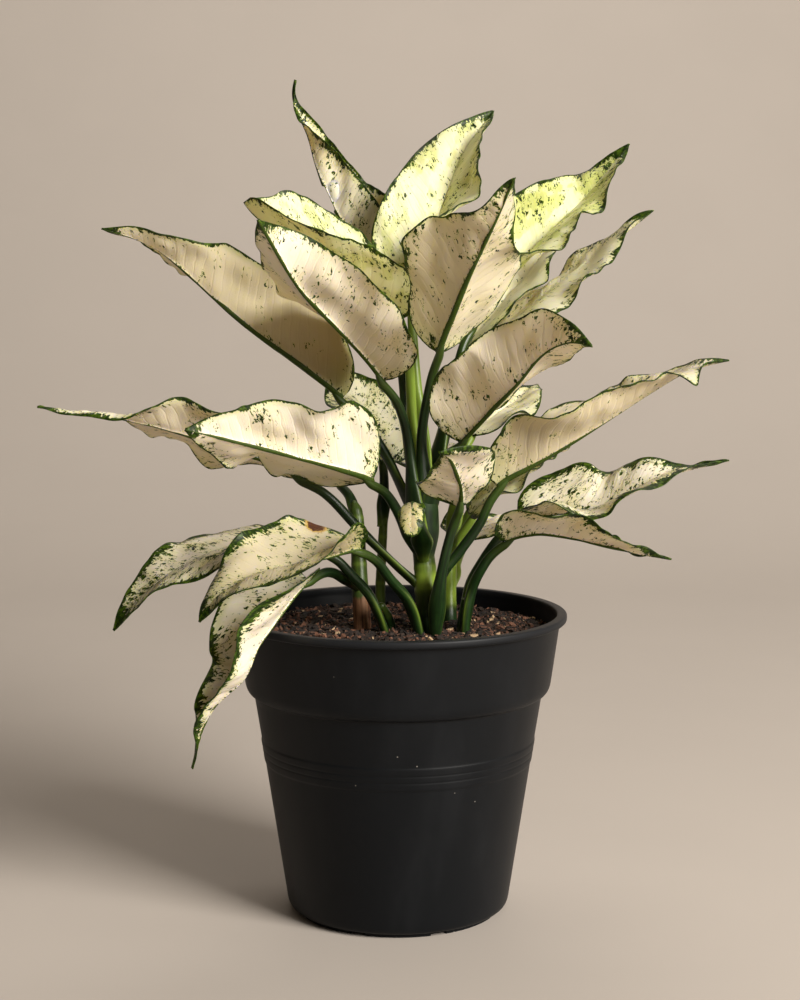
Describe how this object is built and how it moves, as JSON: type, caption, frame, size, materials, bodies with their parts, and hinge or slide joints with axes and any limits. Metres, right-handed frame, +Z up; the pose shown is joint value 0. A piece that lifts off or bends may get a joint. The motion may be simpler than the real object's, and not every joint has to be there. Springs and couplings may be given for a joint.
{
  "type": "potted aglaonema",
  "caption": "House plant: broad waved cream leaves speckled with green, on long stalks rising from a clump of canes in a round black nursery pot of soil.",
  "frame": {"origin": "centre of the pot's flat underside, on the pot's axis", "axes": "+Z up along the pot's axis; -Y towards the viewer of the reference picture; +X to that viewer's right"},
  "size_m": [0.3725, 0.2529, 0.4741],
  "materials": {
    "pot_plastic": "satin",
    "soil": "matte",
    "stalk": "satin",
    "leaf_upper": "satin",
    "leaf_underside": "matte"
  },
  "bodies": {
    "root": {"pot": "pot_plastic", "soil": "soil", "stem_main": "stalk", "stem_left": "stalk", "stem_right": "stalk", "stem_young": "stalk", "stem_back": "stalk", "stem_thin": "stalk", "leaf_top_left": "leaf_upper", "leaf_top_middle": "leaf_upper", "leaf_top_right": "leaf_upper", "leaf_rolled_left": "leaf_upper", "leaf_front_upper_left": "leaf_underside", "leaf_front_upper_right": "leaf_underside", "leaf_long_left": "leaf_underside", "leaf_front_right": "leaf_underside", "leaf_long_right": "leaf_underside", "leaf_low_right_upper": "leaf_upper", "leaf_low_right_lower": "leaf_underside", "leaf_front_left": "leaf_underside", "leaf_far_left": "leaf_underside", "leaf_low_left_back": "leaf_upper", "leaf_low_left_front": "leaf_upper", "leaf_hanging": "leaf_upper", "leaf_young_centre": "leaf_underside", "leaf_curled_tip": "leaf_upper", "leaf_right_behind": "leaf_upper", "leaf_back_right_tall": "leaf_upper", "leaf_back_middle": "leaf_upper", "leaf_back_left_inner": "leaf_upper", "leaf_back_left_outer": "leaf_upper", "leaf_back_right_upper": "leaf_upper", "leaf_back_right_middle": "leaf_upper", "leaf_back_right_inner": "leaf_upper", "leaf_back_right_low": "leaf_upper"}
  },
  "joints": []
}
